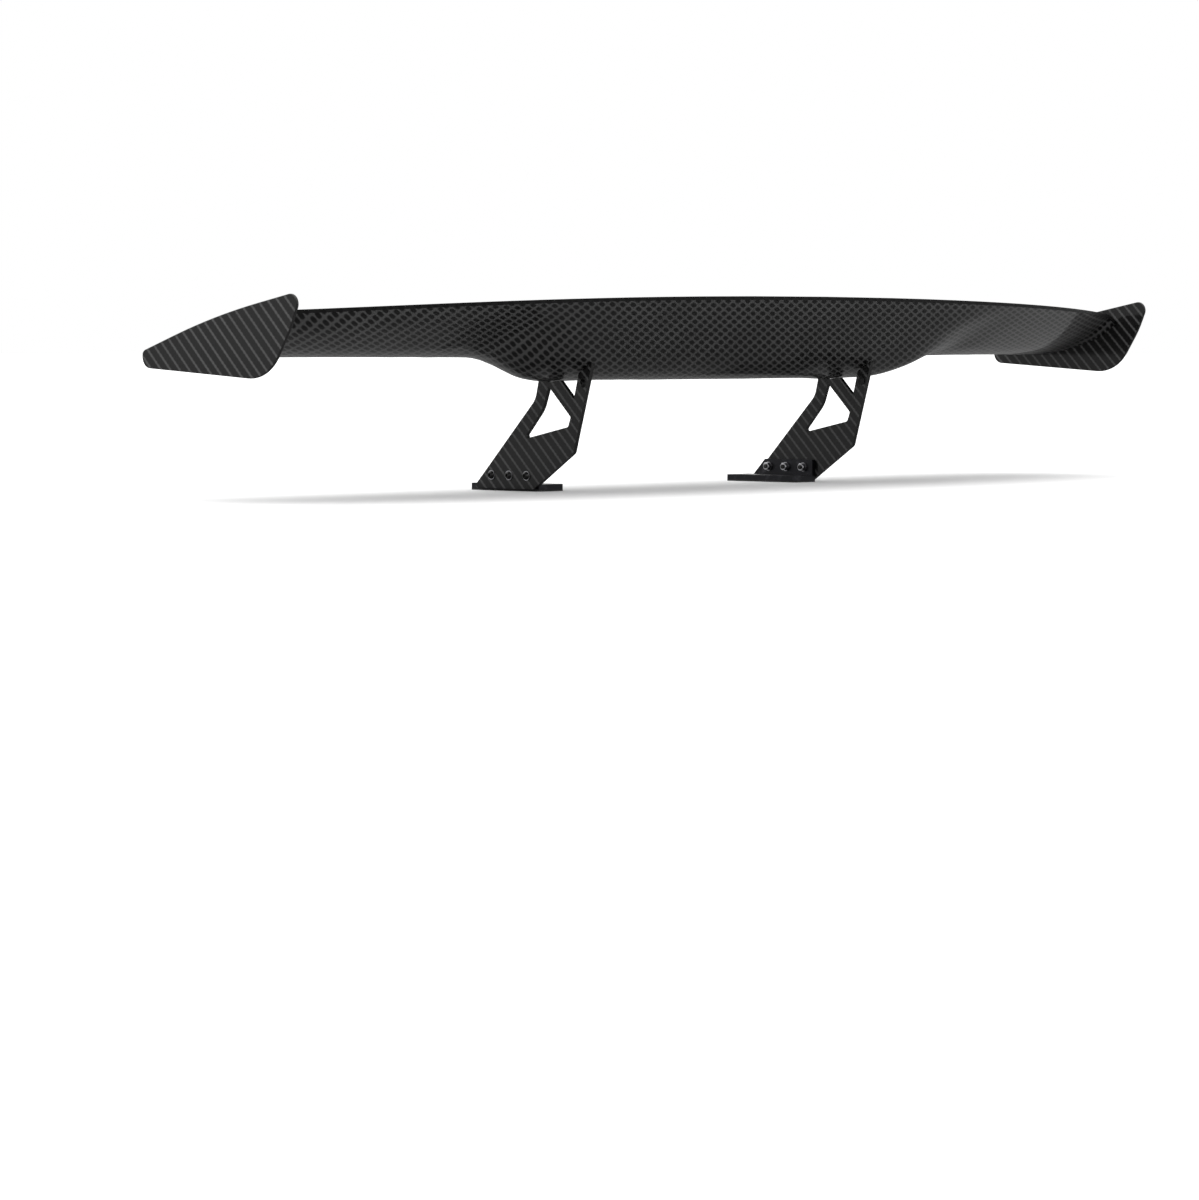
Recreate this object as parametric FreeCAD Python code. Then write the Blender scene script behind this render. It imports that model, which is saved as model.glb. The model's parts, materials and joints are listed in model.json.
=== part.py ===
"""Racing rear wing: a hollow carbon blade with two endplates, on two cut-out uprights with bolt-down feet.

Frame: X across the car (+X is the car's right side), +Y forwards, +Z up. The origin is midway between the
two feet, on the deck that they are bolted to. Millimetres.

The blade turns about two pivot pins to set its angle. Each upright has two ears that reach up into the
blade, and the pin goes through them and the mounting rib between them. A lug of the same rib comes down
into a pocket in the upright's rear arm, where a screw and its sleeve clamp it. The ends of the lug's arc
slot are the ends of the adjustment.
"""

import FreeCAD, Part
import math
import os

V = FreeCAD.Vector

# Blade: outline in plan and along the span
HALF_SPAN = 823.0          # centreline to the inner face of an endplate
EDGE_Y_CENTRE = -276.0     # trailing edge at the centreline
EDGE_SWEEP = 128.0         # how much further forward the trailing edge is at the tips
EDGE_Z_CENTRE = 248.0      # top of the trailing edge lip at the centreline
EDGE_DROP = (19.9, 4.2, -2.6)   # fall of the trailing edge at the tips: parts growing as span^2, ^4 and ^8
TIP_FLARE = (8.0, 8.0)     # how far back and down the trailing edge curls where it runs into an endplate
TIP_FLARE_LENGTH = 34.0
NOSE_Y = 42.0
NOSE_SWEEP = 3.0
BELLY_Z_INNER = 141.9      # lowest line of the underside, between and around the uprights
BELLY_Z_OUTER = 171.0      # the same line outboard
BELLY_STEP = (340.0, 460.0)     # where along the span the belly changes from one to the other
STEP_SKEW_FROM = -120.0    # ahead of this line the step runs inwards
STEP_SKEW = 0.95           # by so much for each millimetre forwards
NOSE_Z = 188.0
NOSE_Z_TIP = 177.0
THICKNESS_CENTRE = 31.0
THICKNESS_TIP_LOSS = 14.0
EDGE_THICKNESS = 3.0
SKIN = 2.4
BOND = 0.4                 # glue line between a spar, rib or lip and the skins
END_BOND = 4.0             # glue lines left along the chord at the narrow front and rear ends of a rib

# Blade section: where along the chord, from the trailing edge (0) to the nose (1), and what it is there.
# Depth runs from 0 at the trailing edge to 1 on the belly; rise runs from 0 on the belly to 1 at the nose.
CHORD = (0.0, 0.12, 0.25, 0.44, 0.55, 0.66, 0.76, 0.88, 0.96)
DEPTH_CENTRE = (0.0, 0.25, 0.52, 0.90, 1.0)
DEPTH_TIP = (0.0, 0.36, 0.60, 0.84, 0.93)
RISE_CENTRE = (0.0, 0.06, 0.28, 0.60)
RISE_TIP = (0.12, 0.0, 0.02, 0.15)
THICKNESS = (0.0, 0.40, 0.60, 0.85, 0.97, 1.0, 0.94, 0.84, 0.67)
VOID_REAR = 0.075          # the skins are bonded solid behind this part of the chord, and ahead of the next
VOID_FRONT = 0.955
STATIONS = (0.0, 110.0, 220.0, 300.0, 340.0, 369.0, 398.0, 426.0, 455.0, 500.0, 570.0, 640.0, 700.0,
            750.0, 780.0, 795.0, 806.0, 815.0, HALF_SPAN)

# Trailing edge lip
LIP_DEPTH = 3.0
LIP_PROUD = 1.5
LIP_HEIGHT = LIP_PROUD + EDGE_THICKNESS

# Inner structure
SPAR = 3.0
FRONT_SPAR_Y = -40.0
REAR_SPAR_Y = -124.0
REAR_SPAR_END = 700.0
LIGHT_RIB = 3.0
MID_RIB_X = 480.0
TIP_RIB = 9.0
BLADE_Y = (-290.0, 60.0)   # a box that holds the whole blade, for cutting webs from its inside
BLADE_Z = (110.0, 270.0)
RIB_RELIEF = (((-5.0, 168.0), 7.0), ((-100.0, 158.0), 7.5), ((-165.0, 184.0), 6.0))   # ((y, z), radius)

# Uprights and the joint to the blade
UPRIGHT_X = 274.0
UPRIGHT = 6.0
MOUNT_RIB = 2.4
RIB_POCKET = 2.8           # slot in the middle of the upright's thickness that the mounting rib runs in
PIVOT = (-73.0, 154.0)
EAR_R = 8.2
EAR_ROUND = 0.98           # of a full half-round, which leaves a short flat on top of an ear
EAR_PLAY = 0.5             # around the ears in their hole in the lower skin
EAR_POCKET_Z = 141.6
ANGLE_SCREW = (-142.0, 138.0)
ANGLE_RANGE = 6.0          # degrees
PIN_R = 3.0
BUSH_R = 5.0
RUNNING_CLEARANCE = 0.06
SLEEVE_R = 2.5
SLOT_R = 2.85
LUG_R = 5.0                # half the width of the lug around its slot
LUG_ROOT = 20.0            # degrees of arc from the screw up into the blade
LUG_PLAY = 0.3             # between the lug and the edges of its hole in the lower skin
POCKET_CLEARANCE = 0.4
SCREW_R = 1.75
SCREW_HEAD_R = 5.5
SCREW_HEAD = 1.6
SLEEVE_HEAD = 1.2
SOCKET_FLATS = 3.0

# Feet
GASKET = 2.0
FOOT_LENGTH = 120.0
FOOT_WIDTH = 44.0
FOOT_FLANGE = 7.0
FOOT_LEG = 6.0
FOOT_LEG_TOP = 30.0
DECK_HOLE_R = 4.5
DECK_HOLE_X = 246.0
DECK_HOLE_Y = 42.0
FOOT_BOLT_Z = 20.0
FOOT_BOLT_Y = (-44.0, -13.0, 18.0)
M6_R = 3.0
M6_HOLE_R = 3.2
M6_HEAD_R = 5.25
M6_HEAD = 3.3
M6_SOCKET = 4.0
M6_WASHER_R = 6.0
M6_WASHER = 1.2
M6_NUT_FLATS = 10.0
M6_NUT = 5.2
M6_END = 2.0               # thread that shows past the nut

# Endplates
ENDPLATE = 4.0
ENDPLATE_ROUND = 1.2
DOWEL_R = 2.5
DOWEL_LENGTH = 11.0
DOWEL_IN_PLATE = 2.5
DOWEL_Y = (-72.0, -36.0, 0.0)

SIDES = {"left": -1, "right": 1}
SAME_POINT = 1e-3


def smoothstep(t):
    """0 below t = 0, 1 above t = 1, and a smooth rise between."""
    t = min(max(t, 0.0), 1.0)
    return t * t * (3 - 2 * t)


def mix(a, b, t):
    return a + (b - a) * t


# The blade's shape, as functions of the place along the span

def span_share(x):
    return abs(x) / HALF_SPAN


def edge(x):
    """(y, z) of the top of the trailing edge lip."""
    s = span_share(x)
    drop = EDGE_DROP[0] * s ** 2 + EDGE_DROP[1] * s ** 4 + EDGE_DROP[2] * s ** 8
    curl = max(0.0, 1 - (HALF_SPAN - abs(x)) / TIP_FLARE_LENGTH) ** 3
    return (EDGE_Y_CENTRE + EDGE_SWEEP * s ** 4 - TIP_FLARE[0] * curl,
            EDGE_Z_CENTRE - drop - TIP_FLARE[1] * curl)


def belly(x, y):
    """The height of the lowest line, at a place in plan."""
    start, end = BELLY_STEP
    inwards = STEP_SKEW * max(0.0, y - STEP_SKEW_FROM)
    return mix(BELLY_Z_INNER, BELLY_Z_OUTER, smoothstep((abs(x) + inwards - start) / (end - start)))


def nose(x):
    s = span_share(x)
    return NOSE_Y + NOSE_SWEEP * s ** 2, mix(NOSE_Z, NOSE_Z_TIP, s ** 4)


def chord_points(x):
    """The section's (y, lower z, upper z) at each share of CHORD."""
    blend = span_share(x) ** 4
    edge_y, edge_z = edge(x)
    rear_y = edge_y + LIP_DEPTH
    rear_z = edge_z - LIP_PROUD - EDGE_THICKNESS
    nose_y, nose_z = nose(x)
    thickest = THICKNESS_CENTRE - THICKNESS_TIP_LOSS * blend
    depths = [mix(a, b, blend) for a, b in zip(DEPTH_CENTRE, DEPTH_TIP)]
    rises = [mix(a, b, blend) for a, b in zip(RISE_CENTRE, RISE_TIP)]
    points = []
    for index, (share, part) in enumerate(zip(CHORD, THICKNESS)):
        y = mix(rear_y, nose_y, share)
        low = belly(x, y)
        if index < len(depths):
            z = mix(rear_z, low, depths[index])
        else:
            z = mix(low, nose_z, rises[index - len(depths)])
        own = part * thickest if share else EDGE_THICKNESS
        points.append((y, z, z + own))
    return points


def chord_mid(x, share):
    """A point midway between the two surfaces at a share of the chord."""
    points = chord_points(x)
    for index in range(len(CHORD) - 1):
        if CHORD[index] <= share <= CHORD[index + 1]:
            t = (share - CHORD[index]) / (CHORD[index + 1] - CHORD[index])
            y, low, high = (mix(a, b, t) for a, b in zip(points[index], points[index + 1]))
            return V(x, y, (low + high) / 2)


def spacing(points):
    """Spline parameters for a row of points, from the lengths between them."""
    places = [0.0]
    for a, b in zip(points, points[1:]):
        places.append(places[-1] + a.distanceToPoint(b))
    return [place / places[-1] for place in places]


def outer_rows(x):
    """The outer surface's points: along the underside to the nose, and back along the top."""
    nose_y, nose_z = nose(x)
    tip = V(x, nose_y, nose_z)
    lower = [V(x, y, low) for y, low, high in chord_points(x)] + [tip]
    upper = [tip] + [V(x, y, high) for y, low, high in reversed(chord_points(x))]
    return lower, upper


def inner_rows(x, glue=0.0):
    """The same for the hollow inside, from its rear end to its front end, less a glue line."""
    inset = END_BOND * glue / (NOSE_Y - EDGE_Y_CENTRE)
    rear = chord_mid(x, VOID_REAR + inset)
    front = chord_mid(x, VOID_FRONT - inset)
    inside = chord_points(x)[1:-1]
    lower = [rear] + [V(x, y, low + SKIN + glue) for y, low, high in inside] + [front]
    upper = [rear] + [V(x, y, high - SKIN - glue) for y, low, high in inside] + [front]
    return lower, upper


def interpolated(points, parameters, first=None, last=None):
    """A curve through points, with the speed first at its start and last at its end, or left free."""
    curve = Part.BSplineCurve()
    if first is None:
        curve.interpolate(Points=points, Parameters=parameters)
    else:
        curve.interpolate(Points=points, Parameters=parameters, InitialTangent=first, FinalTangent=last,
                          Scale=False)
    return curve


def spline(points, parameters, start=None, end=None):
    """A curve through points; start and end set its direction there, and both are otherwise left free."""
    if start is None and end is None:
        return interpolated(points, parameters)
    length = sum(a.distanceToPoint(b) for a, b in zip(points, points[1:]))
    first = start or (points[1] - points[0]).normalize()
    last = end or (points[-1] - points[-2]).normalize()
    return interpolated(points, parameters, first * length, last * length)


def line(a, b):
    return Part.makeLine(a, b)


def straight(a, b):
    """A straight line as a curve with poles, for a face across the span."""
    curve = Part.BSplineCurve()
    curve.buildFromPoles([a, b], False, 1)
    return curve


def stations():
    return [-x for x in reversed(STATIONS[1:])] + list(STATIONS)


def span_face(curves, near_first, near_last):
    """A face through one curve at each station. The curves have the same knots, so each row of their poles
    is joined by a curve of its own. near_first and near_last are the curves 1 mm in from the tips, for the
    slope there."""
    shares = [(x + HALF_SPAN) / (2 * HALF_SPAN) for x in stations()]
    rows = []
    for index in range(curves[0].NbPoles):
        poles = [curve.getPole(index + 1) for curve in curves]
        first = (near_first.getPole(index + 1) - poles[0]) * 2 * HALF_SPAN
        last = (poles[-1] - near_last.getPole(index + 1)) * 2 * HALF_SPAN
        rows.append(interpolated(poles, shares, first, last))
    surface = Part.BSplineSurface()
    surface.buildFromPolesMultsKnots(
        [row.getPoles() for row in rows],
        curves[0].getMultiplicities(), rows[0].getMultiplicities(),
        curves[0].getKnots(), rows[0].getKnots(), False, False, curves[0].Degree, rows[0].Degree)
    return surface.toShape()


def loft(make_curves):
    """A closed solid across the span. make_curves(x) gives the ring of curves that bounds it at x."""
    rings = [make_curves(x) for x in stations()]
    near_first, near_last = make_curves(1 - HALF_SPAN), make_curves(HALF_SPAN - 1)
    faces = [span_face(*side) for side in zip(zip(*rings), near_first, near_last)]
    for ring in (rings[0], rings[-1]):
        faces.append(Part.Face(Part.Wire([curve.toShape() for curve in ring])))
    sewn = Part.Compound(faces)
    sewn.sewShape()
    solid = Part.Solid(Part.Shell(sewn.Faces))
    if solid.Volume < 0:
        solid.reverse()
    return solid


UP = V(0, 0, 1)
OUTER_LOWER, OUTER_UPPER = (spacing(row) for row in outer_rows(0.0))
INNER_LOWER, INNER_UPPER = (spacing(row) for row in inner_rows(0.0))


def upper_skin():
    def curves(x):
        tip_row = outer_rows(x)[1]
        inner = inner_rows(x)[1]
        rear_mid = chord_mid(x, 0.0)
        return [
            spline(tip_row, OUTER_UPPER, start=UP),
            straight(tip_row[-1], rear_mid),
            straight(rear_mid, inner[0]),
            spline(inner, INNER_UPPER),
            straight(inner[-1], tip_row[0]),
        ]
    return loft(curves)


def lower_skin_blank():
    def curves(x):
        row = outer_rows(x)[0]
        inner = inner_rows(x)[0]
        rear_mid = chord_mid(x, 0.0)
        return [
            spline(row, OUTER_LOWER, end=UP),
            straight(row[-1], inner[-1]),
            spline(inner, INNER_LOWER),
            straight(inner[0], rear_mid),
            straight(rear_mid, row[0]),
        ]
    return loft(curves)


def hollow():
    """The space between the skins, which the spars and ribs fill from skin to skin."""
    def curves(x):
        lower, upper = inner_rows(x, BOND)
        return [spline(lower, INNER_LOWER), spline(upper, INNER_UPPER)]
    return loft(curves)


# Plates and turned parts

def corner_path(corners):
    """A closed outline in the YZ plane from (y, z, radius) corners, with arcs where the radius isn't 0."""
    arcs = {}
    ends = []
    for index, (y, z, radius) in enumerate(corners):
        here = V(0, y, z)
        before = V(0, *corners[index - 1][:2])
        after = V(0, *corners[(index + 1) % len(corners)][:2])
        back = (before - here).normalize()
        ahead = (after - here).normalize()
        half = back.getAngle(ahead) / 2
        reach = radius / math.tan(half)
        start, end = here + back * reach, here + ahead * reach
        ends.append((start, end))
        if radius:
            inward = (back + ahead).normalize()
            middle = here + inward * (radius / math.sin(half) - radius)
            arcs[index] = Part.Arc(start, middle, end).toShape()
    path = []
    for index in range(len(corners)):
        if index in arcs:
            path.append(arcs[index])
        leave, arrive = ends[index][1], ends[(index + 1) % len(corners)][0]
        if leave.distanceToPoint(arrive) > SAME_POINT:
            path.append(line(leave, arrive))
    return Part.Wire(path)


def plate(wire, x_low, x_high, windows=()):
    """An outline in the YZ plane made into a plate between two X positions, less its windows."""
    solid = Part.Face(wire).extrude(V(x_high - x_low, 0, 0))
    solid.translate(V(x_low, 0, 0))
    for window in windows:
        hole = Part.Face(window).extrude(V(x_high - x_low + 2, 0, 0))
        hole.translate(V(x_low - 1, 0, 0))
        solid = solid.cut(hole)
    return solid


def between(side, inner, outer):
    """Two distances from the centreline as a low and a high X."""
    return sorted((side * inner, side * outer))


def slab(side, inner, outer, y_low, y_high, z_low, z_high):
    """A box whose X range is measured from the centreline towards one side."""
    x_low, x_high = between(side, inner, outer)
    return Part.makeBox(x_high - x_low, y_high - y_low, z_high - z_low, V(x_low, y_low, z_low))


def across(side, inner, outer, radius, place):
    """A cylinder along X at (y, z), its ends measured from the centreline towards one side."""
    x_low, x_high = between(side, inner, outer)
    return Part.makeCylinder(radius, x_high - x_low, V(x_low, *place), V(1, 0, 0))


def ring(side, inner, outer, radius, hole, place):
    return across(side, inner, outer, radius, place).cut(across(side, inner - 1, outer + 1, hole, place))


def hexagon(side, inner, outer, flats, place):
    """A hexagonal prism along X, its ends measured from the centreline towards one side."""
    corner = flats / math.sqrt(3)
    turns = [math.radians(60 * step) for step in range(6)]
    points = [V(0, place[0] + corner * math.cos(t), place[1] + corner * math.sin(t)) for t in turns]
    return plate(Part.makePolygon(points + points[:1]), *between(side, inner, outer))


def button_bolt(side, start, head_at, shank_r, head_r, head, socket_flats, place):
    """A button-head bolt: its head stands outside head_at, and its shank runs in to start."""
    shank = across(side, start, head_at + head / 4, shank_r, place)
    shank = shank.makeChamfer(shank_r * 0.2, [end_edge(shank, side * start)])
    centre = V(side * head_at, *place)
    blank = across(side, head_at, head_at + head, head_r, place)
    dome_rise = head * 1.25
    dome_r = (head_r ** 2 + dome_rise ** 2) / (2 * dome_rise)
    dome = Part.makeSphere(dome_r, centre + V(side * (dome_rise - dome_r), 0, 0))
    socket_floor = head_at + head * 0.42
    socket = hexagon(side, socket_floor, head_at + head + 1, socket_flats, place)
    return shank.fuse(blank.common(dome)).cut(socket)


def end_edge(solid, x):
    """The round edge of a cylinder's end at x."""
    for one in solid.Edges:
        if one.BoundBox.XLength < SAME_POINT and abs(one.CenterOfMass.x - x) < SAME_POINT:
            return one


def nut(side, inner, outer, flats, hole, place):
    """A hexagon nut with chamfered corners, threaded on to the end of its bolt."""
    body = hexagon(side, inner, outer, flats, place)
    face_r = flats * 0.46
    height = (outer - inner) * 1.4
    cone = Part.makeCone(face_r, face_r + height, height, V(side * inner, *place), V(side, 0, 0))
    return body.common(cone).cut(across(side, inner - 1, outer + 1, hole, place))


def both_sides(make):
    return Part.makeCompound([make(side) for side in SIDES.values()])


# Places measured outwards from the centreline

UPRIGHT_INNER = UPRIGHT_X - UPRIGHT / 2
UPRIGHT_OUTER = UPRIGHT_X + UPRIGHT / 2
RIB_INNER = UPRIGHT_X - MOUNT_RIB / 2
RIB_OUTER = UPRIGHT_X + MOUNT_RIB / 2
POCKET_INNER = UPRIGHT_X - RIB_POCKET / 2
POCKET_OUTER = UPRIGHT_X + RIB_POCKET / 2


# Uprights

def upright_outline():
    pivot_y, pivot_z = PIVOT
    return corner_path([
        (-158.0, 164.1, 1.0),     # top of the rear arm, cut along the underside
        (-147.0, 157.5, 0),
        (-134.9, 151.1, 1.5),
        (-126.5, 118.0, 1.5),     # foot of the notch between the rear arm and the brace
        (-103.0, 141.7, 1.0),     # top of the brace
        (pivot_y - EAR_R, 139.4, 0),
        (pivot_y - EAR_R, pivot_z + EAR_R, EAR_R * EAR_ROUND),
        (pivot_y + EAR_R, pivot_z + EAR_R, EAR_R * EAR_ROUND),
        (pivot_y + EAR_R, 139.2, 0.5),
        (-59.5, 117.0, 26.0),
        (51.0, 3.0, 3.0),         # foot
        (-55.5, 3.0, 3.0),
        (-125.5, 50.0, 7.0),      # heel
    ])


def upright_window():
    return corner_path([
        (-82.5, 134.0, 1.5),      # top, between the brace and the front arm
        (-121.0, 95.5, 3.0),
        (-116.5, 83.0, 3.5),
        (-38.5, 66.5, 3.0),       # front bottom corner
        (-72.0, 104.5, 40.0),
    ])


def arc_band(radius, above, below):
    """A band in the YZ plane about the pivot, with round ends. It has its radius on each side of the
    screw's arc, and runs over so many degrees above and below the screw."""
    centre = V(0, *PIVOT)
    arm = V(0, *ANGLE_SCREW) - centre
    screw = math.atan2(arm.z, arm.y)
    start, end = screw - math.radians(above), screw + math.radians(below)
    middle = (start + end) / 2
    outer, inner = arm.Length + radius, arm.Length - radius
    cap = radius / arm.Length

    def at(angle, distance):
        return centre + V(0, math.cos(angle), math.sin(angle)) * distance

    return Part.Wire([
        Part.Arc(at(start, outer), at(middle, outer), at(end, outer)).toShape(),
        Part.Arc(at(end, outer), at(end + cap, arm.Length), at(end, inner)).toShape(),
        Part.Arc(at(end, inner), at(middle, inner), at(start, inner)).toShape(),
        Part.Arc(at(start, inner), at(start - cap, arm.Length), at(start, outer)).toShape(),
    ])


def rib_pockets(side):
    """The room for the mounting rib in the middle of the upright's thickness: between its ears and in its
    rear arm."""
    ears = slab(side, POCKET_INNER, POCKET_OUTER, PIVOT[0] - EAR_R - 1, PIVOT[0] + EAR_R + 1,
                EAR_POCKET_Z, PIVOT[1] + EAR_R + 1)
    band = arc_band(LUG_R + POCKET_CLEARANCE, LUG_ROOT, ANGLE_RANGE)
    return ears.fuse(plate(band, *between(side, POCKET_INNER, POCKET_OUTER)))


def upright(side):
    thickness = between(side, UPRIGHT_INNER, UPRIGHT_OUTER)
    body = plate(upright_outline(), *thickness, windows=[upright_window()]).cut(rib_pockets(side))
    holes = [(PIVOT, PIN_R), (ANGLE_SCREW, SLEEVE_R)]
    holes += [((y, FOOT_BOLT_Z), M6_HOLE_R) for y in FOOT_BOLT_Y]
    for place, radius in holes:
        body = body.cut(across(side, UPRIGHT_INNER - 1, UPRIGHT_OUTER + 1, radius, place))
    return body


# Mounting ribs: flat steel ribs inside the blade, each with a lug that comes out through the underside

def lug(side, grow=0.0):
    wire = arc_band(LUG_R + grow, LUG_ROOT, ANGLE_RANGE)
    return plate(wire, *between(side, RIB_INNER - grow, RIB_OUTER + grow))


def ear_opening(side):
    """The hole in the lower skin that the ears pass through, long enough for the blade to turn."""
    turn = (PIVOT[1] - BELLY_Z_INNER) * math.radians(ANGLE_RANGE)
    return slab(side, UPRIGHT_INNER - EAR_PLAY, UPRIGHT_OUTER + EAR_PLAY, PIVOT[0] - EAR_R - EAR_PLAY,
                PIVOT[0] + EAR_R + EAR_PLAY + turn, BELLY_Z_INNER - 5, PIVOT[1])


def mount_rib(side, inside):
    web = slab(side, RIB_INNER, RIB_OUTER, *BLADE_Y, *BLADE_Z).common(inside)
    body = web.fuse(lug(side)).removeSplitter()
    body = body.cut(plate(arc_band(SLOT_R, 0, ANGLE_RANGE), *between(side, RIB_INNER - 1, RIB_OUTER + 1)))
    for place, radius in ((PIVOT, BUSH_R),) + RIB_RELIEF:
        body = body.cut(across(side, RIB_INNER - 1, RIB_OUTER + 1, radius, place))
    return body


def spar(side_span, y, inside):
    """A web from skin to skin, along part of the span."""
    x_low, x_high = side_span
    height = BLADE_Z[1] - BLADE_Z[0]
    return Part.makeBox(x_high - x_low, SPAR, height, V(x_low, y, BLADE_Z[0])).common(inside)


def web_between_spars(side, x, inside):
    return slab(side, x, x + LIGHT_RIB, REAR_SPAR_Y + SPAR, FRONT_SPAR_Y, *BLADE_Z).common(inside)


def tip_rib(side, inside):
    body = slab(side, HALF_SPAN - TIP_RIB, HALF_SPAN + 1, *BLADE_Y, *BLADE_Z).common(inside)
    return body.cut(dowels(side))


# Endplates

def endplate_outline():
    return corner_path([
        (-213.2, 250.3, 12.0),    # top rear corner
        (-62.0, 221.2, 1200.0),   # the top edge is slightly crowned
        (66.0, 179.2, 8.0),       # blunt front nose
        (64.0, 159.4, 14.0),
        (-155.0, 145.3, 58.0),    # bottom rear corner
        (-194.0, 206.0, 150.0),   # the rear edge bends slightly
    ])


def dowel_place(y):
    """A dowel's (y, z): midway between the skins at the tip."""
    points = chord_points(HALF_SPAN)
    rear_y, front_y = points[0][0], nose(HALF_SPAN)[0]
    return y, chord_mid(HALF_SPAN, (y - rear_y) / (front_y - rear_y)).z


def dowels(side):
    inner = HALF_SPAN + DOWEL_IN_PLATE - DOWEL_LENGTH
    outer = HALF_SPAN + DOWEL_IN_PLATE
    return Part.makeCompound([across(side, inner, outer, DOWEL_R, dowel_place(y)) for y in DOWEL_Y])


def endplate(side):
    body = plate(endplate_outline(), *between(side, HALF_SPAN, HALF_SPAN + ENDPLATE))
    rim = [one for one in body.Edges if one.BoundBox.XLength < SAME_POINT]
    body = body.makeFillet(ENDPLATE_ROUND, rim)
    return body.cut(dowels(side))


def trailing_edge_lip():
    def curves(x):
        y, z = edge(x)
        front = y + LIP_DEPTH - BOND
        points = [V(x, y, z), V(x, front, z), V(x, front, z - LIP_HEIGHT), V(x, y, z - LIP_HEIGHT)]
        return [straight(a, b) for a, b in zip(points, points[1:] + points[:1])]
    return loft(curves)


# Fasteners at the blade's joint

def pivot_bush(side):
    return ring(side, RIB_INNER, RIB_OUTER, BUSH_R, PIN_R + RUNNING_CLEARANCE, PIVOT)


def pivot_pin(side):
    return across(side, UPRIGHT_INNER, UPRIGHT_OUTER, PIN_R, PIVOT)


def angle_sleeve(side):
    """A threaded sleeve through the upright and the lug's slot, with a thin head on the inner face."""
    head = across(side, UPRIGHT_INNER - SLEEVE_HEAD, UPRIGHT_INNER, SCREW_HEAD_R, ANGLE_SCREW)
    body = across(side, UPRIGHT_INNER - 0.5, UPRIGHT_OUTER, SLEEVE_R, ANGLE_SCREW)
    bore = across(side, UPRIGHT_INNER, UPRIGHT_OUTER + 1, SCREW_R, ANGLE_SCREW)
    return head.fuse(body).cut(bore)


def angle_screw(side):
    return button_bolt(side, UPRIGHT_INNER + 1, UPRIGHT_OUTER, SCREW_R, SCREW_HEAD_R, SCREW_HEAD,
                       SOCKET_FLATS, ANGLE_SCREW)


# Feet

FOOT_OUTER = UPRIGHT_INNER
FOOT_INNER = FOOT_OUTER - FOOT_WIDTH
FOOT_HALF = FOOT_LENGTH / 2


def deck_holes(side, top):
    places = [V(side * DECK_HOLE_X, y, -1) for y in (-DECK_HOLE_Y, DECK_HOLE_Y)]
    return Part.makeCompound([Part.makeCylinder(DECK_HOLE_R, top + 2, place) for place in places])


def foot(side):
    flange = slab(side, FOOT_INNER, FOOT_OUTER, -FOOT_HALF, FOOT_HALF, GASKET, GASKET + FOOT_FLANGE)
    leg_inner = FOOT_OUTER - FOOT_LEG
    leg = slab(side, leg_inner, FOOT_OUTER, -FOOT_HALF, FOOT_HALF, GASKET, FOOT_LEG_TOP)
    within = plate(upright_outline(), *between(side, leg_inner, FOOT_OUTER))
    body = flange.fuse(leg.common(within))
    body = body.cut(deck_holes(side, GASKET + FOOT_FLANGE))
    for y in FOOT_BOLT_Y:
        body = body.cut(across(side, leg_inner - 1, FOOT_OUTER + 1, M6_HOLE_R, (y, FOOT_BOLT_Z)))
    return body.removeSplitter()


def foot_gasket(side):
    body = slab(side, FOOT_INNER, FOOT_OUTER, -FOOT_HALF, FOOT_HALF, 0, GASKET)
    return body.cut(deck_holes(side, GASKET))


def foot_places():
    return [(side, (y, FOOT_BOLT_Z)) for side in SIDES.values() for y in FOOT_BOLT_Y]


FOOT_HEAD_AT = UPRIGHT_OUTER + M6_WASHER
FOOT_WASHER_AT = FOOT_OUTER - FOOT_LEG - M6_WASHER
FOOT_NUT_AT = FOOT_WASHER_AT - M6_NUT


def foot_bolts():
    return Part.makeCompound([
        button_bolt(side, FOOT_NUT_AT - M6_END, FOOT_HEAD_AT, M6_R, M6_HEAD_R, M6_HEAD, M6_SOCKET, place)
        for side, place in foot_places()
    ])


def foot_washers():
    rings = []
    for side, place in foot_places():
        rings.append(ring(side, UPRIGHT_OUTER, FOOT_HEAD_AT, M6_WASHER_R, M6_R, place))
        rings.append(ring(side, FOOT_WASHER_AT, FOOT_WASHER_AT + M6_WASHER, M6_WASHER_R, M6_R, place))
    return Part.makeCompound(rings)


def foot_nuts():
    return Part.makeCompound([
        nut(side, FOOT_NUT_AT, FOOT_WASHER_AT, M6_NUT_FLATS, M6_R, place) for side, place in foot_places()
    ])


def blade_parts():
    inside = hollow()
    lower = lower_skin_blank()
    for side in SIDES.values():
        lower = lower.cut(lug(side, grow=LUG_PLAY)).cut(ear_opening(side))
    parts = {"upper_skin": upper_skin(), "lower_skin": lower, "trailing_edge_lip": trailing_edge_lip()}
    for name, side in SIDES.items():
        front_reach = between(side, RIB_OUTER + BOND, HALF_SPAN - TIP_RIB)
        rear_reach = between(side, RIB_OUTER + BOND, REAR_SPAR_END)
        parts["mount_rib_" + name] = mount_rib(side, inside)
        parts["front_spar_" + name] = spar(front_reach, FRONT_SPAR_Y, inside)
        parts["rear_spar_" + name] = spar(rear_reach, REAR_SPAR_Y, inside)
        parts["mid_rib_" + name] = web_between_spars(side, MID_RIB_X, inside)
        parts["outer_rib_" + name] = web_between_spars(side, REAR_SPAR_END - LIGHT_RIB, inside)
        parts["tip_rib_" + name] = tip_rib(side, inside)
        parts["endplate_" + name] = endplate(side)
        parts["endplate_dowels_" + name] = dowels(side)
    middle = (BOND - RIB_INNER, RIB_INNER - BOND)
    parts["front_spar_centre"] = spar(middle, FRONT_SPAR_Y, inside)
    parts["rear_spar_centre"] = spar(middle, REAR_SPAR_Y, inside)
    parts["pivot_bushes"] = both_sides(pivot_bush)
    return parts


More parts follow.
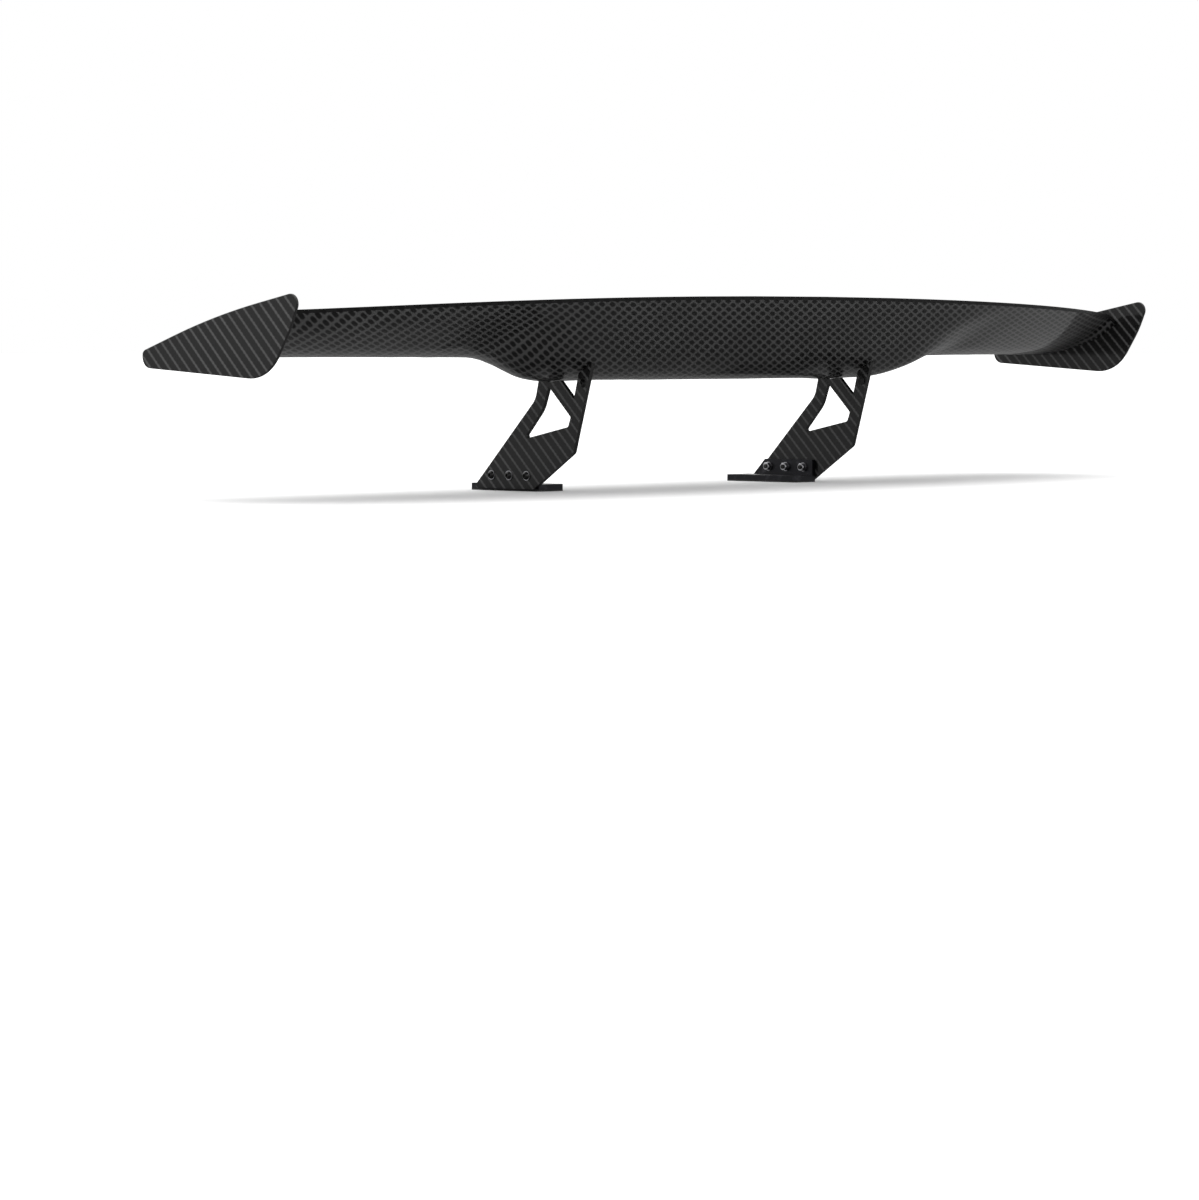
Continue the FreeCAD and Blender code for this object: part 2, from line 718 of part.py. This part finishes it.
def stand_parts():
    parts = {}
    for name, side in SIDES.items():
        parts["upright_" + name] = upright(side)
        parts["foot_" + name] = foot(side)
        parts["foot_gasket_" + name] = foot_gasket(side)
    parts["pivot_pins"] = both_sides(pivot_pin)
    parts["angle_sleeves"] = both_sides(angle_sleeve)
    parts["angle_screws"] = both_sides(angle_screw)
    parts["foot_bolts"] = foot_bolts()
    parts["foot_washers"] = foot_washers()
    parts["foot_nuts"] = foot_nuts()
    return parts


def main():
    os.makedirs("parts", exist_ok=True)
    for name, shape in {**blade_parts(), **stand_parts()}.items():
        shape.exportStep("parts/" + name + ".step")
        solids = [round(one.Volume) for one in shape.Solids]
        print(name, "valid" if shape.isValid() else "INVALID", len(solids), "solids", solids[:4])


main()
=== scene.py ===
"""Looks for the racing rear wing: carbon weave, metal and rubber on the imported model, in a plain studio."""

import json
import math

import bpy
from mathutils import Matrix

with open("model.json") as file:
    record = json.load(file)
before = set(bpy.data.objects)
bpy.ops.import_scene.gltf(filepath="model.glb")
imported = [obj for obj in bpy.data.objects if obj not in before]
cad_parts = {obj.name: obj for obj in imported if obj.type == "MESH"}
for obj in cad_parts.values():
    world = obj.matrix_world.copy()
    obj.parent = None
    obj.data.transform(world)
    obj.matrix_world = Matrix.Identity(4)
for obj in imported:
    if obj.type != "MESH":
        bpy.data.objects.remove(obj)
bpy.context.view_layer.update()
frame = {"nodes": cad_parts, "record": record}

MM = 0.001

# The view
CAMERA_PLACE = (-4.3991, -4.0161, 0.1938)
CAMERA_YAW = 46.99            # degrees from straight forwards towards the right
CAMERA_DOWN = 3.32            # degrees below level
CAMERA_LENS = 135.0
CAMERA_SENSOR = 36.0
CAMERA_REACH = 200.0

# The studio
WORLD_LIGHT = 0.75            # from the horizon and below it
WORLD_LIGHT_ABOVE = 2.2       # from straight overhead
BACKDROP = 1.0                # what the camera sees behind the wing
FLOOR = 0.85
FLOOR_IN_GLOSS = 0.3          # the same floor, as the gloss mirrors it
FLOOR_REACH = 40.0

# The cloths. A length without a unit is in tows.
PLATE_TOW = 4.2 * MM
BLADE_TOW = 6.6 * MM
REPEAT = 4.0                  # after so many tows the twill starts again
FLOAT = 2.0                   # a tow passes over so many others before it dips
FLOAT_ROUND = 0.6             # a lower value keeps a float's crown level for longer
FLOAT_MIDDLE = 0.375          # in repeats: brings the middle of a float to the middle of the repeat
SPOT_CORE = 0.7               # a float's dark spot in the painted sheen is full above this, on a scale of 0 to 1
SPOT_RIM = 0.2                # and gone below this
LINE_CORE = 0.05              # in repeats: a slanting line of painted sheen is full this close to its middle
LINE_RIM = 0.2                # and gone this far from it
LINE_STAIRS = 0.12            # how much a slanting line follows the cells' stairs
FACE_FULL = 0.98              # a plate's face points along X by at least this much
FACE_GONE = 0.8               # and its cut edges by less than this
FILAMENTS_ACROSS = 9.0        # noise cells to a tow
FILAMENTS_ALONG = 0.7

# The blade's front edge, where its cloth turns back
NOSE_Y = 42 * MM              # at the centreline
NOSE_BOW = 0.0044             # how much further forward it is elsewhere, for each square metre of x * x
NOSE_ROUND = 14 * MM
SLOPE_SHARE = 0.3             # how much of a change in height counts as length of cloth

# Surface noise, in cells to a metre
CLOUDS = 14.0
ORANGE_PEEL = 90.0
SCUFFS = 60.0
GRAIN = 900.0

# Most of a noise texture's values lie between these
NOISE_LOW = 0.3
NOISE_HIGH = 0.7


class Nodes:
    """A material's node tree, with short calls for the nodes that the looks need. The values that feed
    takes are numbers or other nodes' outputs."""

    def __init__(self, name):
        self.material = bpy.data.materials.new(name)
        self.material.use_nodes = True
        self.tree = self.material.node_tree
        self.shader = self.tree.nodes["Principled BSDF"]

    def link(self, source, socket):
        self.tree.links.new(source, socket)

    def feed(self, sockets, values):
        for socket, value in zip(sockets, values):
            if isinstance(value, (int, float)):
                socket.default_value = value
            else:
                self.link(value, socket)

    def math(self, operation, *values, clamp=False):
        node = self.tree.nodes.new("ShaderNodeMath")
        node.operation = operation
        node.use_clamp = clamp
        self.feed(node.inputs, values)
        return node.outputs[0]

    def coordinates(self, kind):
        """The x, y and z sockets of a point's place (Object) or direction (Normal) in the CAD frame."""
        source = self.tree.nodes.new("ShaderNodeTexCoord")
        split = self.tree.nodes.new("ShaderNodeSeparateXYZ")
        self.link(source.outputs[kind], split.inputs[0])
        return split.outputs

    def vector(self, x, y, z):
        node = self.tree.nodes.new("ShaderNodeCombineXYZ")
        self.feed(node.inputs, (x, y, z))
        return node.outputs[0]

    def noise(self, vector, scale, detail=2.0, roughness=0.5):
        node = self.tree.nodes.new("ShaderNodeTexNoise")
        node.inputs["Scale"].default_value = scale
        node.inputs["Detail"].default_value = detail
        node.inputs["Roughness"].default_value = roughness
        self.link(vector, node.inputs["Vector"])
        return node.outputs[0]

    def mix(self, factor, a, b):
        """a and b mixed as numbers."""
        node = self.tree.nodes.new("ShaderNodeMix")
        self.feed(node.inputs[:1] + node.inputs[2:4], (factor, a, b))
        return node.outputs[0]

    def colour(self, factor, dark, light):
        """dark and light mixed as colours."""
        node = self.tree.nodes.new("ShaderNodeMix")
        node.data_type = "RGBA"
        node.inputs[6].default_value = (*dark, 1)
        node.inputs[7].default_value = (*light, 1)
        self.link(factor, node.inputs[0])
        return node.outputs[2]

    def ramp(self, value, low, high, out_low=0.0, out_high=1.0):
        """out_low where the value is low, out_high where it is high, and a smooth change between them."""
        node = self.tree.nodes.new("ShaderNodeMapRange")
        node.interpolation_type = "SMOOTHSTEP"
        self.feed(node.inputs[:5], (value, low, high, out_low, out_high))
        return node.outputs[0]

    def bump(self, height, strength, distance):
        node = self.tree.nodes.new("ShaderNodeBump")
        node.inputs["Strength"].default_value = strength
        node.inputs["Distance"].default_value = distance
        self.link(height, node.inputs["Height"])
        return node.outputs[0]

    def settings(self, **values):
        """Numbers for the shader's own sockets, named with _ for a space."""
        for name, value in values.items():
            self.shader.inputs[name.replace("_", " ")].default_value = value


def crown(nodes, fraction):
    """0 at a tow's edges and 1 along its middle."""
    off_middle = nodes.math("MULTIPLY_ADD", fraction, 2.0, -1.0)
    return nodes.math("SUBTRACT", 1.0, nodes.math("MULTIPLY", off_middle, off_middle))


def float_height(nodes, part_across, cells_passed, part_of_cell):
    """The height of a float, crowned across the tow and along its own length."""
    passed = nodes.math("ADD", cells_passed, part_of_cell)
    along = crown(nodes, nodes.math("MULTIPLY", passed, 1 / FLOAT))
    return nodes.math("MULTIPLY", crown(nodes, part_across), nodes.math("POWER", along, FLOAT_ROUND))


def twill(nodes, a, b):
    """Two over, two under. Returns where the tow along b is on top, as 0 or 1, the height of the cloth and
    the cell's place in the stairs that the floats climb."""
    part_a = nodes.math("FRACT", a)
    part_b = nodes.math("FRACT", b)
    stairs = nodes.math("SUBTRACT", nodes.math("FLOOR", a), nodes.math("FLOOR", b))
    step = nodes.math("FLOORED_MODULO", stairs, REPEAT)
    over = nodes.math("LESS_THAN", step, FLOAT - 0.5)
    b_height = float_height(nodes, part_a, nodes.math("SUBTRACT", FLOAT - 1, step), part_b)
    a_height = float_height(nodes, part_b, nodes.math("SUBTRACT", step, FLOAT), part_a)
    return over, nodes.mix(over, a_height, b_height), stairs


def slanting_lines(nodes, a, b):
    """Twill whose tow ends are painted lighter as a sheen and join up into thin slanting lines of painted
    sheen, one to each repeat. The plate's cut edges show none. Returns how much painted sheen the cloth
    has, its height, and where the tow along b is on top."""
    over, height, stairs = twill(nodes, a, b)
    slant = nodes.mix(LINE_STAIRS, nodes.math("SUBTRACT", a, b), stairs)
    repeats = nodes.math("FRACT", nodes.math("MULTIPLY", slant, 1 / REPEAT))
    off_line = nodes.math("ABSOLUTE", nodes.math("SUBTRACT", repeats, 0.5))
    # painted sheen: the line is a lighter colour where the tow ends catch the light
    line = nodes.ramp(off_line, LINE_RIM, LINE_CORE)
    sideways = nodes.math("ABSOLUTE", nodes.coordinates("Normal")[0])
    face = nodes.ramp(sideways, FACE_GONE, FACE_FULL)
    return nodes.math("MULTIPLY", line, face), height, over


def dark_floats(nodes, a, b):
    """Twill in which one set of tows is left dark, as if it took no light, and the rest is painted lighter
    as a sheen. Each of its floats shows as a dark spot in a net of painted sheen whose lines cross between
    the floats. Returns the same three."""
    over, height, _ = twill(nodes, a, b)
    across = nodes.math("MULTIPLY_ADD", nodes.math("SUBTRACT", a, b), 1 / REPEAT, FLOAT_MIDDLE)
    along_a = nodes.math("MULTIPLY_ADD", a, 1 / REPEAT, FLOAT_MIDDLE)
    along = nodes.math("ADD", along_a, nodes.math("MULTIPLY", b, 3 / REPEAT))
    crown_across = crown(nodes, nodes.math("FRACT", across))
    crown_along = crown(nodes, nodes.math("FRACT", along))
    spot = nodes.math("MULTIPLY", crown_across, crown_along)
    # painted sheen: the net between the floats is lit in colour, the floats stay dark
    return nodes.ramp(spot, SPOT_CORE, SPOT_RIM), height, over


def stretched_noise(nodes, a, b, cells_along_a, cells_along_b):
    """Noise over the cloth, with so many cells to a tow each way."""
    stretched_a = nodes.math("MULTIPLY", a, cells_along_a)
    stretched_b = nodes.math("MULTIPLY", b, cells_along_b)
    return nodes.noise(nodes.vector(stretched_a, stretched_b, 0.0), scale=1.0, detail=3.0)


def filaments(nodes, a, b, over):
    """Fine streaks that run along whichever tow is on top."""
    along_a = stretched_noise(nodes, a, b, FILAMENTS_ALONG, FILAMENTS_ACROSS)
    along_b = stretched_noise(nodes, a, b, FILAMENTS_ACROSS, FILAMENTS_ALONG)
    return nodes.mix(over, along_a, along_b)


def plate_coordinates(nodes, place):
    """Tows lie along Y and Z on the flat plates, so that the twill's lines rise forwards at 45 degrees."""
    return nodes.math("DIVIDE", place[1], PLATE_TOW), nodes.math("DIVIDE", place[2], PLATE_TOW)


def blade_coordinates(nodes, place):
    """Tows lie at 45 degrees to the span. The cells nearly keep their length on the slopes, because Z takes
    part, and around the nose, where an arc's length takes the place of Y."""
    diagonal = BLADE_TOW * math.sqrt(2)
    across = nodes.math("DIVIDE", place[0], diagonal)
    bow = nodes.math("MULTIPLY", nodes.math("MULTIPLY", place[0], place[0]), -NOSE_BOW / NOSE_ROUND)
    ahead = nodes.math("MULTIPLY_ADD", place[1], 1 / NOSE_ROUND, 1 - NOSE_Y / NOSE_ROUND)
    turn = nodes.math("ADD", ahead, bow, clamp=True)
    longer = nodes.math("SUBTRACT", nodes.math("ARCSINE", turn), turn)
    sloped = nodes.math("MULTIPLY_ADD", place[2], -SLOPE_SHARE, place[1])
    along = nodes.math("DIVIDE", nodes.math("MULTIPLY_ADD", longer, NOSE_ROUND, sloped), diagonal)
    return nodes.math("ADD", along, across), nodes.math("SUBTRACT", along, across)


def carbon(name, cloth, a_b, dark, light, coat, coat_roughness):
    """Carbon cloth under clear coat. cloth draws it, with its painted sheen, and a_b gives its two
    coordinates, in tows.
    """
    nodes = Nodes(name)
    place = nodes.coordinates("Object")
    a, b = a_b(nodes, place)
    painted_light, height, over = cloth(nodes, a, b)
    streaks = filaments(nodes, a, b, over)
    clouds = nodes.noise(nodes.vector(*place), CLOUDS)
    streak_shade = nodes.ramp(streaks, NOISE_LOW, NOISE_HIGH, out_low=0.7)
    cloud_shade = nodes.ramp(clouds, NOISE_LOW, NOISE_HIGH, out_low=0.85)
    shade = nodes.math("MULTIPLY", nodes.math("MULTIPLY", painted_light, streak_shade), cloud_shade, clamp=True)
    # dark is the black cloth, light is the weave's painted sheen
    nodes.link(nodes.colour(shade, (dark,) * 3, (light,) * 3), nodes.shader.inputs["Base Color"])
    uneven = nodes.ramp(streaks, 0.25, 0.75, out_low=0.4, out_high=0.55)
    nodes.link(uneven, nodes.shader.inputs["Roughness"])
    nodes.settings(Specular_IOR_Level=0.08, Coat_Weight=coat, Coat_Roughness=coat_roughness, Coat_IOR=1.5)
    nodes.link(nodes.bump(height, strength=0.3, distance=0.2 * MM), nodes.shader.inputs["Normal"])
    peel = nodes.noise(nodes.vector(*place), ORANGE_PEEL, detail=1.0)
    nodes.link(nodes.bump(peel, strength=0.05, distance=0.2 * MM), nodes.shader.inputs["Coat Normal"])
    return nodes.material


def plain(name, colour, roughness, metallic=1.0, worn=1.25):
    """A plain finish with a fine grain. worn is how much brighter it is where it has been handled."""
    nodes = Nodes(name)
    place = nodes.coordinates("Object")
    grain = nodes.noise(nodes.vector(*place), GRAIN, detail=3.0)
    blotches = nodes.noise(nodes.vector(*place), SCUFFS, detail=4.0, roughness=0.65)
    scuffs = nodes.ramp(blotches, 0.5, 0.72)
    brighter = tuple(min(1.0, channel * worn) for channel in colour)
    nodes.link(nodes.colour(scuffs, colour, brighter), nodes.shader.inputs["Base Color"])
    uneven = nodes.ramp(grain, NOISE_LOW, NOISE_HIGH, roughness * 0.8, roughness * 1.2)
    nodes.link(uneven, nodes.shader.inputs["Roughness"])
    nodes.settings(Metallic=metallic)
    nodes.link(nodes.bump(grain, strength=0.1, distance=0.05 * MM), nodes.shader.inputs["Normal"])
    return nodes.material


def blade_carbon(name):
    return carbon(
        name, dark_floats, blade_coordinates,
        # light is the weave's painted sheen
        dark=0.0003, light=0.05, coat=0.2, coat_roughness=0.05,
    )


def edge_carbon(name):
    return carbon(
        name, dark_floats, blade_coordinates,
        # light is the weave's painted sheen
        dark=0.0005, light=0.004, coat=0.08, coat_roughness=0.05,
    )


def endplate_carbon(name):
    return carbon(
        name, slanting_lines, plate_coordinates,
        # light is the weave's painted sheen
        dark=0.004, light=0.06, coat=0.5, coat_roughness=0.1,
    )


def upright_carbon(name):
    return carbon(
        name, slanting_lines, plate_coordinates,
        # light is the weave's painted sheen
        dark=0.006, light=0.065, coat=0.5, coat_roughness=0.1,
    )


def inner_carbon(name):
    return carbon(
        name, slanting_lines, plate_coordinates,
        # light is the weave's painted sheen
        dark=0.004, light=0.06, coat=0.1, coat_roughness=0.3,
    )


def foot_aluminium(name):
    return plain(name, (0.03, 0.03, 0.033), roughness=0.4, worn=2.0)


def dowel_aluminium(name):
    return plain(name, (0.7, 0.71, 0.73), roughness=0.3)


def bush_bronze(name):
    return plain(name, (0.55, 0.38, 0.17), roughness=0.35)


def pin_steel(name):
    return plain(name, (0.56, 0.56, 0.57), roughness=0.25)


def black_steel(name):
    return plain(name, (0.03, 0.03, 0.03), roughness=0.33, worn=2.5)


def zinc_steel(name):
    return plain(name, (0.45, 0.45, 0.47), roughness=0.3)


def gasket_rubber(name):
    return plain(name, (0.02, 0.02, 0.02), roughness=0.75, metallic=0.0)


def dress_nodes():
    """Each node gets the material of its slot in the record."""
    looks = (
        blade_carbon, edge_carbon, endplate_carbon, upright_carbon, inner_carbon, foot_aluminium,
        dowel_aluminium, bush_bronze, pin_steel, black_steel, zinc_steel, gasket_rubber,
    )
    made = {look.__name__: look(look.__name__) for look in looks}
    for row in frame["record"]["subparts"]:
        piece = frame["nodes"][row["node"]]
        piece.data.materials.clear()
        piece.data.materials.append(made[row["material_slot"]])


def floor_paint():
    """A plain grey that is darker in mirrored rays than to the camera."""
    nodes = Nodes("floor_paint")
    mirrored = nodes.tree.nodes.new("ShaderNodeLightPath").outputs["Is Glossy Ray"]
    grey = nodes.colour(mirrored, (FLOOR,) * 3, (FLOOR_IN_GLOSS,) * 3)
    nodes.link(grey, nodes.shader.inputs["Base Color"])
    nodes.settings(Roughness=0.8, Specular_IOR_Level=0.0)
    return nodes.material


def floor():
    mesh = bpy.data.meshes.new("floor")
    signs = ((-1, -1), (1, -1), (1, 1), (-1, 1))
    mesh.from_pydata([(x * FLOOR_REACH, y * FLOOR_REACH, 0) for x, y in signs], [], [(0, 1, 2, 3)])
    mesh.materials.append(floor_paint())
    piece = bpy.data.objects.new("floor", mesh)
    bpy.context.scene.collection.objects.link(piece)


def studio():
    """Soft light from all around that grows smoothly towards the top, behind a plain white backdrop."""
    world = bpy.data.worlds.new("studio")
    bpy.context.scene.world = world
    world.use_nodes = True
    tree = world.node_tree
    split = tree.nodes.new("ShaderNodeSeparateXYZ")
    tree.links.new(tree.nodes.new("ShaderNodeTexCoord").outputs["Generated"], split.inputs[0])
    light = tree.nodes.new("ShaderNodeMapRange")
    light.interpolation_type = "SMOOTHSTEP"
    light.inputs["To Min"].default_value = WORLD_LIGHT
    light.inputs["To Max"].default_value = WORLD_LIGHT_ABOVE
    tree.links.new(split.outputs["Z"], light.inputs["Value"])
    strength = tree.nodes.new("ShaderNodeMix")
    strength.inputs[3].default_value = BACKDROP
    camera_ray = tree.nodes.new("ShaderNodeLightPath").outputs["Is Camera Ray"]
    tree.links.new(camera_ray, strength.inputs[0])
    tree.links.new(light.outputs[0], strength.inputs[2])
    background = tree.nodes["Background"]
    background.inputs["Color"].default_value = (1, 1, 1, 1)
    tree.links.new(strength.outputs[0], background.inputs["Strength"])
    bpy.context.scene.view_settings.view_transform = "Standard"


def camera():
    data = bpy.data.cameras.new("view")
    data.lens = CAMERA_LENS
    data.sensor_width = CAMERA_SENSOR
    data.clip_end = CAMERA_REACH
    piece = bpy.data.objects.new("view", data)
    piece.location = CAMERA_PLACE
    piece.rotation_euler = (math.radians(90 - CAMERA_DOWN), 0, math.radians(-CAMERA_YAW))
    bpy.context.scene.collection.objects.link(piece)
    bpy.context.scene.camera = piece


dress_nodes()
floor()
studio()
camera()
